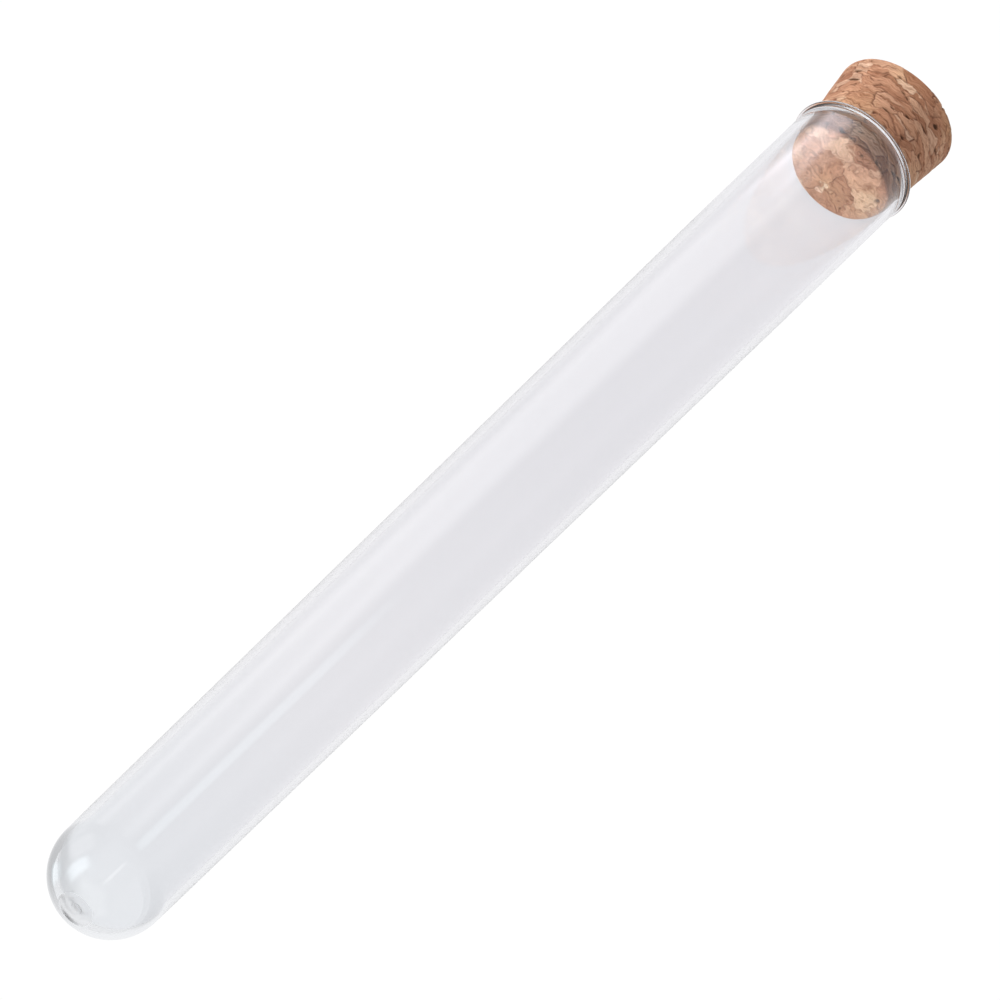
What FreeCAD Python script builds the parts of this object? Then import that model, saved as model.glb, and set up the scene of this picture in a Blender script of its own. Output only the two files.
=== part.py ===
import FreeCAD, Part
import math
import os

import Sketcher

# A clear moulded plastic test tube with a tapered cork stopper.
# +Z runs up the tube towards the mouth. The origin is on the tube's axis, at the lowest point
# of the round bottom. Sizes are in millimetres and angles in degrees.

SIZES = {
    # tube: outside
    "tube_length": 150.0,
    "mouth_diameter": 15.0,
    "bottom_diameter": 13.5,
    "collar_length": 20.0,
    "lip_diameter": 15.5,
    "lip_thickness": 0.3,
    "lip_round": 0.12,
    # tube: inside
    "bore_diameter": 13.4,
    "wall_thickness": 0.8,
    "base_thickness": 1.2,
    # the moulding gate's mark under the round bottom
    "gate_diameter": 3.8,
    "gate_ring_width": 0.3,
    "gate_recess": 0.15,
    "gate_round": 0.07,
    "nub_diameter": 1.3,
    "nub_rise": 0.1,
    # cork
    "cork_length": 12.6,
    "cork_wide_diameter": 15.05,
    "cork_narrow_diameter": 12.6,
    "cork_depth": 3.4,
    "cork_round": 0.35,
    "cork_lean": 3.5,
}

doc = FreeCAD.newDocument("test_tube")


def make_sheet():
    """The spreadsheet of driving dimensions, one named cell each."""
    sheet = doc.addObject("Spreadsheet::Sheet", "Sizes")
    for row, (name, value) in enumerate(SIZES.items(), start=1):
        sheet.set(f"A{row}", name)
        sheet.set(f"B{row}", str(value))
        sheet.setAlias(f"B{row}", name)
    doc.recompute()
    return sheet


def make_body(label):
    body = doc.addObject("PartDesign::Body", label)
    body.Label = label
    return body


def make_sketch(body, name, plane_role):
    """An empty sketch on one of the body's own origin planes."""
    plane = next(o for o in body.Origin.OriginFeatures if o.Role == plane_role)
    sketch = body.newObject("Sketcher::SketchObject", name)
    sketch.AttachmentSupport = [(plane, "")]
    sketch.MapMode = "FlatFace"
    return sketch


def constrain(sketch, kind, *where):
    sketch.addConstraint(Sketcher.Constraint(kind, *where))


def dimension(sketch, kind, where, guess, formula, name):
    """A dimension whose value follows a formula in the spreadsheet's cells."""
    index = sketch.addConstraint(Sketcher.Constraint(kind, *where, guess))
    sketch.renameConstraint(index, name)
    sketch.setExpression(f"Constraints.{name}", formula)


def draw_lines(sketch, points):
    """Straight lines from each point to the next, joined end to end."""
    vectors = [FreeCAD.Vector(x, y, 0) for x, y in points]
    lines = []
    for start, end in zip(vectors, vectors[1:]):
        lines.append(sketch.addGeometry(Part.LineSegment(start, end)))
    for line, after in zip(lines, lines[1:]):
        constrain(sketch, "Coincident", line, 2, after, 1)
    return lines


def revolve(body, kind, name, sketch):
    """A full turn of a profile about the body's own vertical axis, added or cut."""
    feature = body.newObject(kind, name)
    feature.Profile = sketch
    feature.ReferenceAxis = (sketch, ["V_Axis"])
    feature.Angle = 360.0
    body.Tip = feature
    doc.recompute()
    return feature


def ring_edges(feature, diameter, height):
    """Names of the circular edges with this diameter, centred on the Z axis at this height."""
    names = []
    for number, edge in enumerate(feature.Shape.Edges, start=1):
        if edge.Degenerated or not isinstance(edge.Curve, Part.Circle):
            continue
        curve = edge.Curve
        same_size = abs(curve.Radius - diameter / 2) < 1e-4
        same_height = abs(curve.Center.z - height) < 1e-4
        if same_size and same_height:
            names.append(f"Edge{number}")
    return names


def fillet(body, name, feature, rings, cell):
    """Rounds the rings, given as (diameter, height) pairs, with the radius in a cell."""
    edges = [edge for ring in rings for edge in ring_edges(feature, *ring)]
    assert len(edges) == len(rings), f"{name}: found {len(edges)} of {len(rings)} edges"
    rounding = body.newObject("PartDesign::Fillet", name)
    rounding.Base = (feature, edges)
    rounding.setExpression("Radius", f"Sizes.{cell}")
    body.Tip = rounding
    doc.recompute()
    return rounding


def draw_dome(sketch, radius, base, mouth):
    """A dome's arc and the drafted side above it, which meet without a corner."""
    centre = FreeCAD.Vector(0, base + radius, 0)
    circle = Part.Circle(centre, FreeCAD.Vector(0, 0, 1), radius)
    arc = sketch.addGeometry(Part.ArcOfCircle(circle, -math.pi / 2, 0))
    side_foot = FreeCAD.Vector(radius, base + radius, 0)
    side_head = FreeCAD.Vector(mouth, SIZES["tube_length"], 0)
    side = sketch.addGeometry(Part.LineSegment(side_foot, side_head))
    constrain(sketch, "PointOnObject", arc, 3, -2)
    constrain(sketch, "Tangent", arc, 2, side, 1)
    return arc, side


def draw_outside(sketch):
    """The tube's outer half profile: base ring, dome, drafted side and straight collar."""
    dome = SIZES["bottom_diameter"] / 2
    mouth = SIZES["mouth_diameter"] / 2
    ring = SIZES["gate_diameter"] / 2 + SIZES["gate_ring_width"]
    top = SIZES["tube_length"]
    foot = top - SIZES["collar_length"]
    arc, side = draw_dome(sketch, dome, 0, mouth)
    corners = [(mouth, foot), (mouth, top), (0, top), (0, 0), (ring, 0)]
    collar, rim, axis, base = draw_lines(sketch, corners)
    constrain(sketch, "Coincident", side, 2, collar, 1)
    constrain(sketch, "Coincident", base, 2, arc, 1)
    constrain(sketch, "Coincident", base, 1, -1, 1)
    constrain(sketch, "Vertical", collar)
    constrain(sketch, "Vertical", axis)
    constrain(sketch, "Horizontal", rim)
    constrain(sketch, "Horizontal", base)
    dimension(sketch, "Radius", (arc,), dome, "Sizes.bottom_diameter / 2", "dome")
    dimension(sketch, "DistanceX", (-1, 1, base, 2), ring,
              "Sizes.gate_diameter / 2 + Sizes.gate_ring_width", "base_ring")
    dimension(sketch, "DistanceX", (-1, 1, collar, 1), mouth, "Sizes.mouth_diameter / 2", "mouth")
    dimension(sketch, "DistanceY", (-1, 1, collar, 1), foot,
              "Sizes.tube_length - Sizes.collar_length", "collar_foot")
    dimension(sketch, "DistanceY", (-1, 1, rim, 1), top, "Sizes.tube_length", "top")


def draw_inside(sketch):
    """The cavity's half profile: a dome and a drafted side up to the mouth."""
    dome = SIZES["bottom_diameter"] / 2 - SIZES["wall_thickness"]
    bore = SIZES["bore_diameter"] / 2
    base = SIZES["base_thickness"]
    top = SIZES["tube_length"]
    arc, side = draw_dome(sketch, dome, base, bore)
    rim, axis = draw_lines(sketch, [(bore, top), (0, top), (0, base)])
    constrain(sketch, "Coincident", side, 2, rim, 1)
    constrain(sketch, "Coincident", axis, 2, arc, 1)
    constrain(sketch, "PointOnObject", axis, 1, -2)
    constrain(sketch, "PointOnObject", axis, 2, -2)
    constrain(sketch, "Horizontal", rim)
    dimension(sketch, "Radius", (arc,), dome,
              "Sizes.bottom_diameter / 2 - Sizes.wall_thickness", "dome")
    dimension(sketch, "DistanceY", (-1, 1, arc, 1), base, "Sizes.base_thickness", "base")
    dimension(sketch, "DistanceX", (-1, 1, rim, 1), bore, "Sizes.bore_diameter / 2", "bore")
    dimension(sketch, "DistanceY", (-1, 1, rim, 1), top, "Sizes.tube_length", "top")


def draw_lip(sketch):
    """The lip's half section, a small rectangle that stands out from the collar."""
    inner = SIZES["mouth_diameter"] / 2 - SIZES["wall_thickness"] / 2
    outer = SIZES["lip_diameter"] / 2
    top = SIZES["tube_length"]
    under = top - SIZES["lip_thickness"]
    corners = [(inner, under), (outer, under), (outer, top), (inner, top), (inner, under)]
    bottom, edge, rim, back = draw_lines(sketch, corners)
    constrain(sketch, "Coincident", back, 2, bottom, 1)
    for line in (bottom, rim):
        constrain(sketch, "Horizontal", line)
    for line in (edge, back):
        constrain(sketch, "Vertical", line)
    dimension(sketch, "DistanceX", (-1, 1, bottom, 1), inner,
              "Sizes.mouth_diameter / 2 - Sizes.wall_thickness / 2", "inner")
    dimension(sketch, "DistanceX", (-1, 1, edge, 1), outer, "Sizes.lip_diameter / 2", "outer")
    dimension(sketch, "DistanceY", (-1, 1, rim, 1), top, "Sizes.tube_length", "top")
    dimension(sketch, "DistanceY", (-1, 1, bottom, 1), under,
              "Sizes.tube_length - Sizes.lip_thickness", "under")


def draw_disc(sketch, diameter, cell):
    """A circle on the axis whose diameter is in a cell."""
    circle = Part.Circle(FreeCAD.Vector(0, 0, 0), FreeCAD.Vector(0, 0, 1), diameter / 2)
    disc = sketch.addGeometry(circle)
    constrain(sketch, "Coincident", disc, 3, -1, 1)
    dimension(sketch, "Diameter", (disc,), diameter, f"Sizes.{cell}", "width")


def add_gate_mark(body):
    """The recess that the moulding gate leaves under the dome, and the nub at its centre."""
    recess_sketch = make_sketch(body, "gate_recess_outline", "XY_Plane")
    draw_disc(recess_sketch, SIZES["gate_diameter"], "gate_diameter")
    recess = body.newObject("PartDesign::Pocket", "gate_recess")
    recess.Profile = recess_sketch
    recess.Reversed = True
    recess.setExpression("Length", "Sizes.gate_recess")
    body.Tip = recess
    doc.recompute()

    nub_sketch = make_sketch(body, "gate_nub_outline", "XY_Plane")
    nub_sketch.setExpression("AttachmentOffset.Base.z", "Sizes.gate_recess")
    draw_disc(nub_sketch, SIZES["nub_diameter"], "nub_diameter")
    nub = body.newObject("PartDesign::Pad", "gate_nub")
    nub.Profile = nub_sketch
    nub.Reversed = True
    nub.setExpression("Length", "Sizes.nub_rise")
    body.Tip = nub
    doc.recompute()
    return nub


def make_tube():
    """The tube, one moulding: outside, lip, cavity, gate mark and rounded edges."""
    body = make_body("tube")

    outside_profile = make_sketch(body, "outside_profile", "XZ_Plane")
    draw_outside(outside_profile)
    revolve(body, "PartDesign::Revolution", "outside", outside_profile)

    lip_profile = make_sketch(body, "lip_profile", "XZ_Plane")
    draw_lip(lip_profile)
    revolve(body, "PartDesign::Revolution", "lip", lip_profile)

    inside_profile = make_sketch(body, "inside_profile", "XZ_Plane")
    draw_inside(inside_profile)
    revolve(body, "PartDesign::Groove", "cavity", inside_profile)

    gate_mark = add_gate_mark(body)
    top = SIZES["tube_length"]
    lip_edges = [
        (SIZES["lip_diameter"], top),
        (SIZES["lip_diameter"], top - SIZES["lip_thickness"]),
        (SIZES["bore_diameter"], top),
    ]
    lip_rounds = fillet(body, "lip_rounds", gate_mark, lip_edges, "lip_round")
    gate_ring = SIZES["gate_diameter"] + 2 * SIZES["gate_ring_width"]
    nub_tip = SIZES["gate_recess"] - SIZES["nub_rise"]
    gate_edges = [
        (gate_ring, 0),
        (SIZES["gate_diameter"], 0),
        (SIZES["gate_diameter"], SIZES["gate_recess"]),
        (SIZES["nub_diameter"], nub_tip),
    ]
    fillet(body, "gate_rounds", lip_rounds, gate_edges, "gate_round")
    return body


def draw_cork(sketch):
    """The cork's half profile. The body's origin is where the cork's axis crosses the lip."""
    narrow = SIZES["cork_narrow_diameter"] / 2
    wide = SIZES["cork_wide_diameter"] / 2
    foot = -SIZES["cork_depth"]
    head = foot + SIZES["cork_length"]
    corners = [(0, foot), (narrow, foot), (wide, head), (0, head), (0, foot)]
    bottom, side, top, axis = draw_lines(sketch, corners)
    constrain(sketch, "Coincident", axis, 2, bottom, 1)
    constrain(sketch, "PointOnObject", axis, 1, -2)
    constrain(sketch, "PointOnObject", axis, 2, -2)
    constrain(sketch, "Horizontal", bottom)
    constrain(sketch, "Horizontal", top)
    dimension(sketch, "DistanceX", (-1, 1, side, 1), narrow,
              "Sizes.cork_narrow_diameter / 2", "narrow")
    dimension(sketch, "DistanceX", (-1, 1, side, 2), wide, "Sizes.cork_wide_diameter / 2", "wide")
    dimension(sketch, "DistanceY", (bottom, 1, -1, 1), -foot, "Sizes.cork_depth", "depth")
    dimension(sketch, "DistanceY", (-1, 1, top, 1), head,
              "Sizes.cork_length - Sizes.cork_depth", "head")


def make_cork():
    """The cork: a solid tapered plug, pushed a little way into the mouth and not quite square."""
    body = make_body("cork_stopper")
    profile = make_sketch(body, "cork_profile", "XZ_Plane")
    draw_cork(profile)
    plug = revolve(body, "PartDesign::Revolution", "plug", profile)
    foot = -SIZES["cork_depth"]
    edges = [
        (SIZES["cork_narrow_diameter"], foot),
        (SIZES["cork_wide_diameter"], foot + SIZES["cork_length"]),
    ]
    fillet(body, "cork_rounds", plug, edges, "cork_round")

    # It leans towards -X about the point where its axis crosses the plane of the lip.
    body.Placement.Rotation = FreeCAD.Rotation(FreeCAD.Vector(0, -1, 0), SIZES["cork_lean"])
    body.setExpression("Placement.Base.z", "Sizes.tube_length")
    body.setExpression("Placement.Rotation.Angle", "Sizes.cork_lean")
    return body


def check_all(bodies):
    """Stops before anything is written if a feature failed or a solid is bad."""
    for item in doc.Objects:
        failed = {"Invalid", "Error"} & set(item.State)
        assert not failed, f"{item.Label}: {item.State}"
    for body in bodies:
        shape = body.Shape
        assert not shape.isNull() and shape.isValid(), f"{body.Label}: bad shape"
        assert len(shape.Solids) == 1, f"{body.Label}: {len(shape.Solids)} solids"


make_sheet()
bodies = [make_tube(), make_cork()]
doc.recompute()
check_all(bodies)

os.makedirs("parts", exist_ok=True)
for body in bodies:
    body.Shape.exportStep(f"parts/{body.Label}.step")
    box = body.Shape.BoundBox
    print(f"{body.Label}: {body.Shape.Volume:.1f} mm3, z {box.ZMin:.2f} to {box.ZMax:.2f}")
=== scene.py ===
import math
import random

import bmesh
import bpy
from mathutils import Matrix, Vector, kdtree, noise


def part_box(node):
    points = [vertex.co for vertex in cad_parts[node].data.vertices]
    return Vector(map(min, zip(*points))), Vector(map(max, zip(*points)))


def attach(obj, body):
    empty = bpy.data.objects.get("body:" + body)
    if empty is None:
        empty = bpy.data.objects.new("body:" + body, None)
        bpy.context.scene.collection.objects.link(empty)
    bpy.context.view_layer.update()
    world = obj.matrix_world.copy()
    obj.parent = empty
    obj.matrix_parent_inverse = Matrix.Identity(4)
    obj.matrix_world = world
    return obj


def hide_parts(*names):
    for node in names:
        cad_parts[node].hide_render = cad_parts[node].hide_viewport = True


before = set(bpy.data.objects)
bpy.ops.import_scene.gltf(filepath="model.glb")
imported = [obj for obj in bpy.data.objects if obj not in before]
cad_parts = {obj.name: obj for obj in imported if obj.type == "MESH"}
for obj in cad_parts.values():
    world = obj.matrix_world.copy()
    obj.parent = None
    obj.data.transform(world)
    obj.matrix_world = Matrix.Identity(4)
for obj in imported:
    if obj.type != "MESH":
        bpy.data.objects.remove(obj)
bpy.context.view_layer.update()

# A clear moulded plastic test tube with a cork in its mouth. The tube stands along +Z, mouth up,
# with its round bottom at the origin. Lengths are in metres unless a name ends in _MM.

MM = 0.001


def mm(value):
    return value * MM


# ---- sizes ---------------------------------------------------------------------------------

TUBE_LOW, TUBE_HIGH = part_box("tube")
TUBE_LENGTH = TUBE_HIGH[2] - TUBE_LOW[2]
LIP_RADIUS = (TUBE_HIGH[0] - TUBE_LOW[0]) / 2
LIP_PROUD = mm(0.25)
WALL = mm(0.8)
COLLAR_RADIUS = LIP_RADIUS - LIP_PROUD
BORE_RADIUS = COLLAR_RADIUS - WALL
LIP_THICKNESS = mm(0.3)
LIP_ROUND = mm(0.12)
COLLAR_LENGTH = mm(20)
DOME_RADIUS = mm(6.75)
INNER_DOME_RADIUS = DOME_RADIUS - WALL
BASE_THICKNESS = mm(1.2)
GATE_FOOT_RADIUS = mm(1.4)
GATE_RING_RADIUS = mm(2.2)
GATE_RECESS = mm(0.13)
GATE_ROUND = mm(0.07)
NUB_RADIUS = mm(0.65)
NUB_TIP = mm(0.05)
TUBE_SEGMENTS = 256

CORK_LENGTH = mm(12.6)
CORK_DEPTH = mm(3.4)
CORK_NARROW_RADIUS = mm(6.3)
CORK_WIDE_RADIUS = mm(7.525)
CORK_ROUND = mm(0.35)
CORK_LEAN = math.radians(3.5)

# The photograph's camera: below the tube, beside its round bottom, and turned about its own axis.
CAMERA_AZIMUTH = math.radians(-52)
CAMERA_ELEVATION = math.radians(-39.5)
CAMERA_ROLL = math.radians(46)
CAMERA_DISTANCE = 1.509
CAMERA_AIM = Vector((0, 0, 0.0796))
CAMERA_LENS_MM = 504
FLOOR_HEIGHT = -1.1
FLOOR_RADIUS = 150
TENT_LEVEL = 0.935
TENT_COLOUR = (0.985, 0.985, 1.0)
BACKDROP_LEVEL = 1.02


# ---- object and material helpers -----------------------------------------------------------

def add_object(name, data):
    """A new object in the scene."""
    item = bpy.data.objects.new(name, data)
    bpy.context.scene.collection.objects.link(item)
    return item


def new_material(name):
    """A material with its nodes, its links and its Principled BSDF."""
    material = bpy.data.materials.new(name)
    material.use_nodes = True
    tree = material.node_tree
    return material, tree.nodes, tree.links, tree.nodes["Principled BSDF"]


def feed(links, value, socket):
    """Sets a node's input to a number, a tuple or another node's output."""
    if isinstance(value, (int, float, tuple)):
        socket.default_value = value
    else:
        links.new(value, socket)


def calculate(nodes, links, operation, *values):
    """The result of a math node."""
    node = nodes.new("ShaderNodeMath")
    node.operation = operation
    for value, socket in zip(values, node.inputs):
        feed(links, value, socket)
    return node.outputs["Value"]


def remap(nodes, links, value, source, target=(0.0, 1.0), smooth=False):
    """A value taken from one range, given as its two ends, to another."""
    node = nodes.new("ShaderNodeMapRange")
    node.interpolation_type = "SMOOTHSTEP" if smooth else "LINEAR"
    for name, number in zip(("From Min", "From Max", "To Min", "To Max"), (*source, *target)):
        node.inputs[name].default_value = number
    links.new(value, node.inputs["Value"])
    return node.outputs["Result"]


def noise_at(nodes, links, place, stretch, detail, roughness=0.5):
    """Noise at a place; stretch is its scale, or its scale along each axis."""
    texture = nodes.new("ShaderNodeTexNoise")
    texture.inputs["Detail"].default_value = detail
    texture.inputs["Roughness"].default_value = roughness
    if isinstance(stretch, tuple):
        mapping = nodes.new("ShaderNodeMapping")
        mapping.inputs["Scale"].default_value = stretch
        links.new(place, mapping.inputs["Vector"])
        place = mapping.outputs["Vector"]
        stretch = 1.0
    texture.inputs["Scale"].default_value = stretch
    links.new(place, texture.inputs["Vector"])
    return texture.outputs["Fac"]


def stored(nodes, name, output="Fac"):
    """A value stored on the mesh's vertices."""
    node = nodes.new("ShaderNodeAttribute")
    node.attribute_name = name
    return node.outputs[output]


def ramp(nodes, links, value, stops):
    """A colour picked by a value, from stops of position and colour."""
    node = nodes.new("ShaderNodeValToRGB")
    elements = node.color_ramp.elements
    while len(elements) < len(stops):
        elements.new(0.5)
    for element, (position, colour) in zip(elements, stops):
        element.position = position
        element.color = (*colour, 1)
    links.new(value, node.inputs["Fac"])
    return node.outputs["Color"]


def mix_colour(nodes, links, mode, factor, first, second):
    """Mixes two colours, each a socket or a tuple; factor is a number or a socket."""
    node = nodes.new("ShaderNodeMix")
    node.data_type = "RGBA"
    node.blend_type = mode
    feed(links, factor, node.inputs["Factor"])
    feed(links, first, node.inputs["A"])
    feed(links, (*second, 1) if isinstance(second, tuple) else second, node.inputs["B"])
    return node.outputs["Result"]


# ---- camera, light and floor ---------------------------------------------------------------

def camera_axes():
    """Unit vectors of the photograph's view: right, up and back towards the camera."""
    flat = math.cos(CAMERA_ELEVATION)
    back = Vector((
        math.sin(CAMERA_AZIMUTH) * flat,
        -math.cos(CAMERA_AZIMUTH) * flat,
        math.sin(CAMERA_ELEVATION),
    ))
    level_right = Vector((0, 0, 1)).cross(back).normalized()
    turn = Matrix.Rotation(CAMERA_ROLL, 3, back)
    right = turn @ level_right
    return right, back.cross(right), back


def make_camera():
    right, up, back = camera_axes()
    data = bpy.data.cameras.new("photo_camera")
    data.lens = CAMERA_LENS_MM
    data.clip_start = 0.01
    data.clip_end = 20
    camera = add_object("photo_camera", data)
    axes = Matrix((right, up, back)).transposed()
    camera.matrix_world = Matrix.Translation(CAMERA_AIM + back * CAMERA_DISTANCE) @ axes.to_4x4()
    bpy.context.scene.camera = camera


def from_view(direction):
    """A unit vector given as right, up and back in the photograph's view."""
    right, up, back = camera_axes()
    return (right * direction[0] + up * direction[1] + back * direction[2]).normalized()


def around_tube(azimuth, elevation):
    """A unit vector by its angle round the tube, from the camera's side to its right, and its height."""
    turn = CAMERA_AZIMUTH + math.radians(azimuth)
    flat = math.cos(math.radians(elevation))
    return Vector((math.sin(turn) * flat, -math.cos(turn) * flat, math.sin(math.radians(elevation))))


def panel_glow(name, radiance, colour):
    """Light that fades towards the panel's edges, as through a softbox's cloth."""
    material, nodes, links, _ = new_material(name)
    nodes.clear()
    place = nodes.new("ShaderNodeTexCoord")
    edge = nodes.new("ShaderNodeVectorMath")
    edge.operation = "SUBTRACT"
    edge.inputs[1].default_value = (0.5, 0.5, 0)
    links.new(place.outputs["UV"], edge.inputs[0])
    parts = nodes.new("ShaderNodeSeparateXYZ")
    links.new(edge.outputs["Vector"], parts.inputs["Vector"])
    fades = []
    for axis in ("X", "Y"):
        size = calculate(nodes, links, "ABSOLUTE", parts.outputs[axis])
        fades.append(remap(nodes, links, size, (0.5, 0.15), smooth=True))
    both = calculate(nodes, links, "MULTIPLY", *fades)
    glow = nodes.new("ShaderNodeEmission")
    glow.inputs["Color"].default_value = (*colour, 1)
    links.new(calculate(nodes, links, "MULTIPLY", both, radiance), glow.inputs["Strength"])
    clear = nodes.new("ShaderNodeBsdfTransparent")
    blend = nodes.new("ShaderNodeMixShader")
    for source, socket in zip((both, clear.outputs["BSDF"], glow.outputs["Emission"]), blend.inputs):
        links.new(source, socket)
    output = nodes.new("ShaderNodeOutputMaterial")
    links.new(blend.outputs["Shader"], output.inputs["Surface"])
    return material


def soft_panel(name, first, last, distance, width, radiance, colour=(1, 1, 1)):
    """A softbox from one direction round the tube to another, seen only in reflections."""
    middle = (first + last).normalized()
    along = (last - first).normalized()
    across = middle.cross(along)
    half_length = distance * math.tan(first.angle(last) / 2)
    centre = CAMERA_AIM + middle * distance
    corners = []
    for side, turn in ((-1, -1), (1, -1), (1, 1), (-1, 1)):
        corners.append(centre + along * half_length * side + across * width / 2 * turn)
    mesh = bpy.data.meshes.new(name)
    mesh.from_pydata(corners, [], [(0, 1, 2, 3)])
    mesh.uv_layers.new(name="UVMap")
    for loop, corner in zip(mesh.uv_layers[0].data, ((0, 0), (1, 0), (1, 1), (0, 1))):
        loop.uv = corner
    mesh.materials.append(panel_glow(name, radiance, colour))
    panel = add_object(name, mesh)
    panel.visible_camera = False
    panel.visible_transmission = False


def soft_lamp(name, place, size, watts):
    """A round soft lamp aimed at the cork, kept out of the clear plastic's reflections."""
    lamp = bpy.data.lights.new(name, "AREA")
    lamp.shape = "DISK"
    lamp.size = size
    lamp.energy = watts
    holder = add_object(name, lamp)
    aim = Vector((0, 0, TUBE_LENGTH)) - place
    holder.location = place
    holder.rotation_euler = aim.to_track_quat("-Z", "Y").to_euler()
    holder.visible_camera = False
    holder.visible_glossy = False
    holder.visible_transmission = False


def make_world():
    """A white studio: plain white behind the object, and a soft tent of light all round it.

    Each zone is its angle round the tube, its height, its angular radius, all in degrees, and how
    much brighter or dimmer the tent is in its middle.
    """
    zones = [
        (-65, 15, 60, -0.15),
        (85, -5, 62, -0.75),
        (15, 40, 55, -0.35),
        (-150, 0, 40, -0.36),
    ]
    world = bpy.data.worlds.new("studio")
    bpy.context.scene.world = world
    world.use_nodes = True
    nodes, links = world.node_tree.nodes, world.node_tree.links
    nodes.clear()
    place = nodes.new("ShaderNodeTexCoord")
    total = TENT_LEVEL
    for azimuth, elevation, radius, change in zones:
        facing = nodes.new("ShaderNodeVectorMath")
        facing.operation = "DOT_PRODUCT"
        facing.inputs[1].default_value = around_tube(azimuth, elevation)
        links.new(place.outputs["Generated"], facing.inputs[0])
        reach = (math.cos(math.radians(radius)), 1)
        fade = remap(nodes, links, facing.outputs["Value"], reach, (0, change), smooth=True)
        total = calculate(nodes, links, "ADD", total, fade)
    tent = nodes.new("ShaderNodeBackground")
    tent.inputs["Color"].default_value = (*TENT_COLOUR, 1)
    links.new(total, tent.inputs["Strength"])
    backdrop = nodes.new("ShaderNodeBackground")
    backdrop.inputs["Color"].default_value = (1, 1, 1, 1)
    backdrop.inputs["Strength"].default_value = BACKDROP_LEVEL
    path = nodes.new("ShaderNodeLightPath")
    choose = nodes.new("ShaderNodeMixShader")
    sources = (path.outputs["Is Camera Ray"], tent.outputs["Background"], backdrop.outputs["Background"])
    for source, socket in zip(sources, choose.inputs):
        links.new(source, socket)
    output = nodes.new("ShaderNodeOutputWorld")
    links.new(choose.outputs["Shader"], output.inputs["Surface"])


def make_floor():
    """A plain pale floor that glows slightly, low enough for the photograph's camera."""
    mesh = bpy.data.meshes.new("floor")
    shape = bmesh.new()
    bmesh.ops.create_circle(shape, cap_ends=True, segments=96, radius=FLOOR_RADIUS)
    bmesh.ops.translate(shape, vec=(0, 0, FLOOR_HEIGHT), verts=shape.verts)
    shape.to_mesh(mesh)
    shape.free()
    floor = add_object("floor", mesh)
    material, _, _, surface = new_material("pale_floor")
    surface.inputs["Base Color"].default_value = (0.9, 0.9, 0.905, 1)
    surface.inputs["Roughness"].default_value = 0.9
    surface.inputs["Specular IOR Level"].default_value = 0.2
    surface.inputs["Emission Color"].default_value = (1, 1, 1, 1)
    surface.inputs["Emission Strength"].default_value = 0.16
    mesh.materials.append(material)


# ---- mesh helpers --------------------------------------------------------------------------

def arc(centre, radius, start, end, steps):
    """Points (r, z) of an arc round a centre, from one angle to another in degrees."""
    points = []
    for step in range(steps + 1):
        angle = math.radians(start + (end - start) * step / steps)
        points.append((centre[0] + radius * math.cos(angle), centre[1] + radius * math.sin(angle)))
    return points


def line(start, end, steps):
    """Points from start to end, without the end."""
    points = []
    for step in range(steps):
        share = step / steps
        points.append(tuple(a + (b - a) * share for a, b in zip(start, end)))
    return points


def lathe(name, outline, segments):
    """A closed surface turned from an outline of (r, z) points that starts and ends on the axis."""
    shape = bmesh.new()
    first = shape.verts.new((0, 0, outline[0][1]))
    last = shape.verts.new((0, 0, outline[-1][1]))
    rings = []
    for radius, height in outline[1:-1]:
        ring = []
        for step in range(segments):
            angle = 2 * math.pi * step / segments
            ring.append(shape.verts.new((radius * math.cos(angle), radius * math.sin(angle), height)))
        rings.append(ring)
    for step in range(segments):
        after = (step + 1) % segments
        shape.faces.new((first, rings[0][after], rings[0][step]))
        shape.faces.new((last, rings[-1][step], rings[-1][after]))
        for low, high in zip(rings, rings[1:]):
            shape.faces.new((low[step], low[after], high[after], high[step]))
    for face in shape.faces:
        face.smooth = True
    mesh = bpy.data.meshes.new(name)
    shape.to_mesh(mesh)
    shape.free()
    return add_object(name, mesh)


# ---- tube ----------------------------------------------------------------------------------

GLOSS_ROUGHNESS = 0.015
FROST_ROUGHNESS = 0.3
LIP_FROST = 0.4


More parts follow.
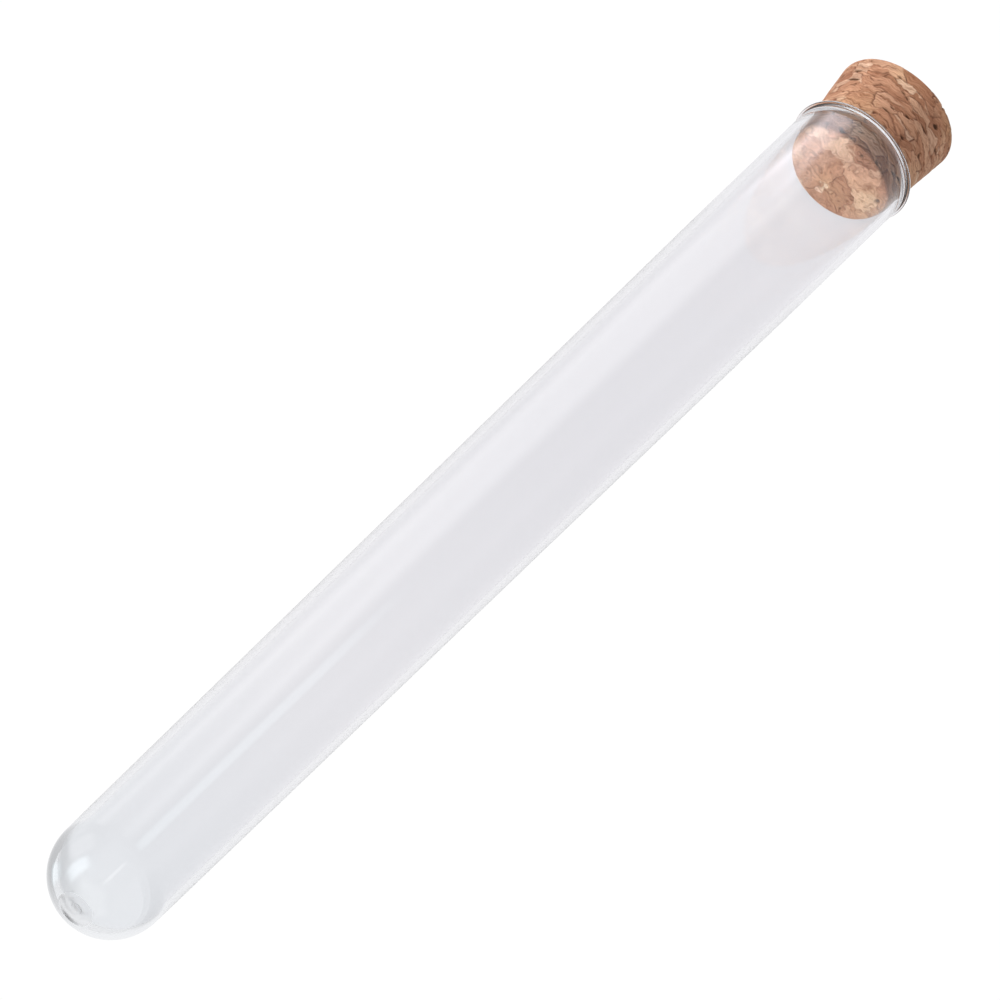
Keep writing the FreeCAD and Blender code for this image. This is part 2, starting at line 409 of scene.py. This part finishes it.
def tube_outline():
    """The tube's whole section, from the gate nub, up the outside, over the lip and down inside."""
    top = TUBE_LENGTH
    dome_centre = math.sqrt(DOME_RADIUS ** 2 - GATE_RING_RADIUS ** 2)
    collar_foot = top - COLLAR_LENGTH
    draft = math.degrees((COLLAR_RADIUS - DOME_RADIUS) / (collar_foot - dome_centre))
    inner_centre = BASE_THICKNESS + INNER_DOME_RADIUS
    inner_draft = math.degrees((BORE_RADIUS - INNER_DOME_RADIUS) / (top - inner_centre))
    ring_angle = -math.degrees(math.acos(GATE_RING_RADIUS / DOME_RADIUS))
    lip_edge = LIP_RADIUS - LIP_ROUND

    points = [(0, NUB_TIP)]
    points += line((NUB_RADIUS * 0.3, NUB_TIP), (NUB_RADIUS - GATE_ROUND, NUB_TIP), 3)
    points += arc((NUB_RADIUS - GATE_ROUND, NUB_TIP + GATE_ROUND), GATE_ROUND, -90, 0, 6)
    points += [(NUB_RADIUS + mm(0.02), GATE_RECESS)]
    points += line((NUB_RADIUS + mm(0.1), GATE_RECESS), (GATE_FOOT_RADIUS, GATE_RECESS), 5)
    for step in range(16):
        share = step / 16
        height = GATE_RECESS * (1 + math.cos(math.pi * share)) / 2
        points.append((GATE_FOOT_RADIUS + (GATE_RING_RADIUS - GATE_FOOT_RADIUS) * share, height))
    points += [(GATE_RING_RADIUS - mm(0.003), 0)]
    points += arc((0, dome_centre), DOME_RADIUS, ring_angle + 0.5, -draft, 40)
    foot = points[-1]
    points += line(foot, (COLLAR_RADIUS, collar_foot), 60)[1:]
    points += line((COLLAR_RADIUS, collar_foot), (COLLAR_RADIUS, top - LIP_THICKNESS), 12)
    points += [(COLLAR_RADIUS, top - LIP_THICKNESS)]
    points += arc((lip_edge, top - LIP_THICKNESS + LIP_ROUND), LIP_ROUND, -90, 0, 8)
    points += arc((lip_edge, top - LIP_ROUND), LIP_ROUND, 0, 90, 8)
    points += line((lip_edge - mm(0.05), top), (BORE_RADIUS + LIP_ROUND, top), 4)
    points += arc((BORE_RADIUS + LIP_ROUND, top - LIP_ROUND), LIP_ROUND, 90, 180, 8)
    head = points[-1]
    inner_foot = (
        INNER_DOME_RADIUS * math.cos(math.radians(inner_draft)),
        inner_centre - INNER_DOME_RADIUS * math.sin(math.radians(inner_draft)),
    )
    points += line(head, inner_foot, 70)[1:]
    points += arc((0, inner_centre), INNER_DOME_RADIUS, -inner_draft, -88, 40)
    points += [(0, BASE_THICKNESS)]
    return points


def clear_plastic():
    """Moulded polystyrene: clear, faintly blue to lavender, and frosted at the mould's marks."""
    material, nodes, links, surface = new_material("clear_plastic")
    surface.inputs["Transmission Weight"].default_value = 1.0
    surface.inputs["IOR"].default_value = 1.55
    place = nodes.new("ShaderNodeTexCoord").outputs["Object"]
    parts = nodes.new("ShaderNodeSeparateXYZ")
    links.new(place, parts.inputs["Vector"])
    share = calculate(nodes, links, "DIVIDE", parts.outputs["Z"], TUBE_LENGTH)
    cast = ramp(nodes, links, share, [
        (0.0, (0.935, 0.95, 0.96)),
        (0.08, (0.94, 0.948, 0.962)),
        (0.3, (0.955, 0.952, 0.965)),
        (0.6, (0.942, 0.938, 0.953)),
        (1.0, (0.95, 0.943, 0.958)),
    ])
    links.new(cast, surface.inputs["Base Color"])
    flow = noise_at(nodes, links, place, (260, 260, 40), 3)
    gloss = remap(nodes, links, flow, (0.0, 1.0), (0.0, GLOSS_ROUGHNESS))
    frost = nodes.new("ShaderNodeMix")
    for name, value in (("Factor", stored(nodes, "frost")), ("A", gloss), ("B", FROST_ROUGHNESS)):
        feed(links, value, frost.inputs[name])
    links.new(frost.outputs["Result"], surface.inputs["Roughness"])
    return material


def make_tube():
    tube = lathe("tube_moulding", tube_outline(), TUBE_SEGMENTS)
    lip_foot = TUBE_LENGTH - LIP_THICKNESS - mm(0.01)
    frost = []
    for vertex in tube.data.vertices:
        radius = math.hypot(vertex.co.x, vertex.co.y)
        gate = vertex.co.z < GATE_RECESS + mm(0.05) and radius < GATE_RING_RADIUS - mm(0.01)
        frost.append(1.0 if gate else LIP_FROST if vertex.co.z > lip_foot else 0.0)
    add_field(tube.data, "frost", "FLOAT", frost)
    tube.data.materials.append(clear_plastic())
    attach(tube, "tube_body")
    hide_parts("tube")


# ---- cork ----------------------------------------------------------------------------------

CORK_SEGMENTS = 480
GRANULE_WIDTH = mm(2.9)
GRANULE_HEIGHT = mm(0.85)
SQUASH = GRANULE_WIDTH / GRANULE_HEIGHT
GRANULE_RELIEF = mm(0.05)
SEAM_WIDTH = mm(0.12)
SEAM_DEPTH = mm(0.16)
SEAM_WANDERS = ((350, mm(0.7)), (1600, mm(0.25)))
PORE_DEPTH = mm(0.22)
PORE_SHARPNESS = 6
CORK_SEED = 7
PAIR_STRIDE = 4099


def cork_outline():
    """The cork's section in its own frame, whose origin is where its axis crosses the lip."""
    low = -CORK_DEPTH
    high = low + CORK_LENGTH
    taper = math.atan2(CORK_WIDE_RADIUS - CORK_NARROW_RADIUS, CORK_LENGTH)
    slope = math.degrees(taper)
    low_inset = CORK_ROUND * (1 - math.sin(taper)) / math.cos(taper)
    high_inset = CORK_ROUND * (1 + math.sin(taper)) / math.cos(taper)
    low_round = (CORK_NARROW_RADIUS - low_inset, low + CORK_ROUND)
    high_round = (CORK_WIDE_RADIUS - high_inset, high - CORK_ROUND)
    points = [(0, low)]
    points += line((mm(0.12), low), (low_round[0], low), 60)
    points += arc(low_round, CORK_ROUND, -90, -slope, 5)
    side_foot = points[-1]
    side_head = arc(high_round, CORK_ROUND, -slope, 90, 5)[0]
    points += line(side_foot, side_head, 130)[1:]
    points += arc(high_round, CORK_ROUND, -slope, 90, 5)
    points += line((high_round[0], high), (0, high), 76)[1:]
    points += [(0, high)]
    return points


def sow_granules(rng):
    """Centres of the pressed granules, in a space stretched upwards so that they are round."""
    seeds = []
    reach = CORK_WIDE_RADIUS + GRANULE_WIDTH
    low = (-CORK_DEPTH - GRANULE_HEIGHT) * SQUASH
    high = (CORK_LENGTH - CORK_DEPTH + GRANULE_HEIGHT) * SQUASH
    steps_across = int(2 * reach / GRANULE_WIDTH)
    steps_up = int((high - low) / GRANULE_WIDTH)
    for i in range(steps_across):
        for j in range(steps_across):
            for k in range(steps_up):
                cell = Vector((i + rng.random(), j + rng.random(), k + rng.random()))
                seeds.append(Vector((-reach, -reach, low)) + cell * GRANULE_WIDTH)
    return seeds


def add_field(mesh, name, kind, values):
    """Stores one value per vertex for the material to read."""
    layer = mesh.attributes.new(name, kind, "POINT")
    key = "vector" if kind == "FLOAT_VECTOR" else "value"
    width = 3 if key == "vector" else 1
    flat = [part for value in values for part in (value if width == 3 else (value,))]
    layer.data.foreach_set(key, flat)


def carve_granules(mesh):
    """Sinks the seams between granules and the pores, and stores what the material needs.

    Each vertex belongs to the granule whose seed is nearest, and the seam lies where the two
    nearest seeds are equally far. Every pair of granules has a seam of its own strength.
    """
    rng = random.Random(CORK_SEED)
    noise.seed_set(CORK_SEED)
    seeds = sow_granules(rng)
    tree = kdtree.KDTree(len(seeds))
    for index, seed in enumerate(seeds):
        tree.insert(seed, index)
    tree.balance()
    tones = [rng.random() for _ in seeds]
    turns = []
    for _ in seeds:
        tilt = Matrix.Rotation(rng.uniform(-0.5, 0.5), 3, "X")
        turns.append(tilt @ Matrix.Rotation(rng.uniform(0, 6.3), 3, "Z"))
    seams, tone_values, grains, pores = [], [], [], []
    normals = [v.normal.copy() for v in mesh.vertices]
    for vertex, normal in zip(mesh.vertices, normals):
        place = vertex.co.copy()
        wander = Vector()
        for scale, reach in SEAM_WANDERS:
            wander += noise.noise_vector(place * scale) * reach
        spot = place + wander
        spot.z *= SQUASH
        (near, first, d1), (_, second, d2) = tree.find_n(spot, 2)
        gap = (d2 - d1) / 2
        pair = random.Random(min(first, second) * PAIR_STRIDE + max(first, second)).random()
        open_seam = max(0.0, min(1.0, (pair - 0.25) * 1.8))
        seam = max(0.0, 1 - gap / SEAM_WIDTH) * open_seam
        pore = noise.noise(Vector((place.x * 700, place.y * 700, place.z * 2100)) + Vector((9, 4, 2)))
        pore = max(0.0, min(1.0, (pore - 0.5) * PORE_SHARPNESS))
        relief = (1 - tones[first]) * GRANULE_RELIEF
        vertex.co -= normal * (SEAM_DEPTH * seam ** 1.3 + PORE_DEPTH * pore + relief)
        seams.append(seam)
        pores.append(pore)
        tone_values.append(tones[first])
        grains.append(tuple(turns[first] @ (spot - near) + Vector((first * 0.01, 0, 0))))
    add_field(mesh, "seam", "FLOAT", seams)
    add_field(mesh, "pore", "FLOAT", pores)
    add_field(mesh, "tone", "FLOAT", tone_values)
    add_field(mesh, "grain", "FLOAT_VECTOR", grains)
    # How much each vertex faces down onto the narrow face, which the material paints lighter: partly
    # paler cut cork, partly painted light.
    add_field(mesh, "narrow_face", "FLOAT", [max(0.0, -normal.z) for normal in normals])


def cork_material():
    """Pressed cork: granules of several tans, fine growth lines, dark seams and pores, and a lighter
    narrow lower face that is partly paler cut cork and partly painted light.
    """
    material, nodes, links, surface = new_material("cork")
    place = nodes.new("ShaderNodeTexCoord").outputs["Object"]
    colour = ramp(nodes, links, stored(nodes, "tone"), [
        (0.0, (0.345, 0.155, 0.086)),
        (0.4, (0.445, 0.222, 0.131)),
        (0.75, (0.522, 0.293, 0.184)),
        (1.0, (0.595, 0.375, 0.26)),
    ])
    growth = noise_at(nodes, links, stored(nodes, "grain", "Vector"), (500, 500, 2600), 6, 0.6)
    bands = ramp(nodes, links, growth, [
        (0.34, (0.52, 0.4, 0.32)),
        (0.47, (0.93, 0.91, 0.89)),
        (0.7, (1.25, 1.28, 1.3)),
    ])
    colour = mix_colour(nodes, links, "MULTIPLY", 1.0, colour, bands)
    narrow_face = stored(nodes, "narrow_face")
    # Painted light: the narrow lower face is made lighter, partly as paler cut cork and partly standing
    # in for light that the tube's wall keeps from it.
    colour = mix_colour(nodes, links, "MULTIPLY", narrow_face, colour, (1.28, 1.42, 1.5))
    drift = noise_at(nodes, links, place, 170, 1)
    hues = ramp(nodes, links, drift, [
        (0.35, (0.86, 0.84, 0.84)),
        (0.5, (1, 1, 1)),
        (0.65, (1.05, 1.12, 1.08)),
    ])
    colour = mix_colour(nodes, links, "MULTIPLY", 1.0, colour, hues)

    # Dark dashes and seams, and pores; the dashes and seams are weaker on the narrow lower face, which
    # adds to the painted light there.
    dashes = noise_at(nodes, links, stored(nodes, "grain", "Vector"), (900, 900, 4200), 3)
    dash = remap(nodes, links, dashes, (0.57, 0.7), (0.0, 0.85))
    marks_fading_on_narrow_face = calculate(nodes, links, "MULTIPLY_ADD", narrow_face, -0.7, 1.0)
    for mark, tint in ((dash, (0.2, 0.095, 0.055)), (stored(nodes, "seam"), (0.15, 0.06, 0.035))):
        strength = calculate(nodes, links, "MULTIPLY", mark, marks_fading_on_narrow_face)
        colour = mix_colour(nodes, links, "MIX", strength, colour, tint)
    colour = mix_colour(nodes, links, "MIX", stored(nodes, "pore"), colour, (0.075, 0.032, 0.016))
    links.new(colour, surface.inputs["Base Color"])

    cells = noise_at(nodes, links, place, 5200, 4)
    bump = nodes.new("ShaderNodeBump")
    bump.inputs["Strength"].default_value = 0.6
    bump.inputs["Distance"].default_value = mm(0.08)
    links.new(calculate(nodes, links, "ADD", growth, cells), bump.inputs["Height"])
    links.new(bump.outputs["Normal"], surface.inputs["Normal"])
    links.new(remap(nodes, links, cells, (0.0, 1.0), (0.62, 0.9)), surface.inputs["Roughness"])
    surface.inputs["Specular IOR Level"].default_value = 0.2
    return material


def make_cork():
    cork = lathe("cork_plug", cork_outline(), CORK_SEGMENTS)
    carve_granules(cork.data)
    lean = Matrix.Rotation(-CORK_LEAN, 4, "Y")
    cork.data.transform(Matrix.Translation((0, 0, TUBE_LENGTH)) @ lean)
    cork.data.materials.append(cork_material())
    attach(cork, "cork")
    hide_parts("cork_stopper")


# ---- the scene -----------------------------------------------------------------------------

bpy.context.scene.view_settings.view_transform = "Standard"
make_camera()
make_world()
make_floor()
soft_panel("key_panel", from_view((-0.99, -0.22, 0.05)), from_view((-0.42, 0.48, 0.76)), 0.8, 0.55, 4.2,
           (0.85, 0.95, 1.0))
soft_panel("side_panel", from_view((-0.98, 0.2, 0.05)), from_view((-0.2, 0.95, 0.3)), 0.9, 1.1, 1.4)
soft_panel("strip_panel", from_view((-0.5, -0.5, 0.7)), from_view((0.55, 0.5, 0.68)), 0.8, 0.14, 2.4)
soft_panel("streak_panel", around_tube(-2, 22), around_tube(-2, 37), 0.36, 0.16, 1.8, (0.85, 0.97, 1.0))
soft_panel("veil_panel", around_tube(-8, 31), around_tube(-112, 31), 0.9, 0.55, 1.9)
soft_panel("mouth_panel", around_tube(-28, 53), around_tube(-106, 53), 0.17, 0.052, 4.8,
           (0.97, 0.93, 1.0))
soft_panel("edge_panel", from_view((-0.7, -0.1, -0.7)), from_view((-0.99, 0.1, 0.05)), 0.8, 0.45, 2.2,
           (0.8, 0.94, 1.0))
soft_panel("low_panel", from_view((-0.95, -0.2, 0.2)), from_view((0.1, -0.8, 0.65)), 0.6, 1.2, 1.5)
soft_lamp("cork_key", CAMERA_AIM + from_view((-0.6, 0.75, 0.3)) * 0.9, 0.5, 5.4)
soft_lamp("bore_fill", Vector((0, 0, mm(30))), mm(10), 0.1)
make_tube()
make_cork()
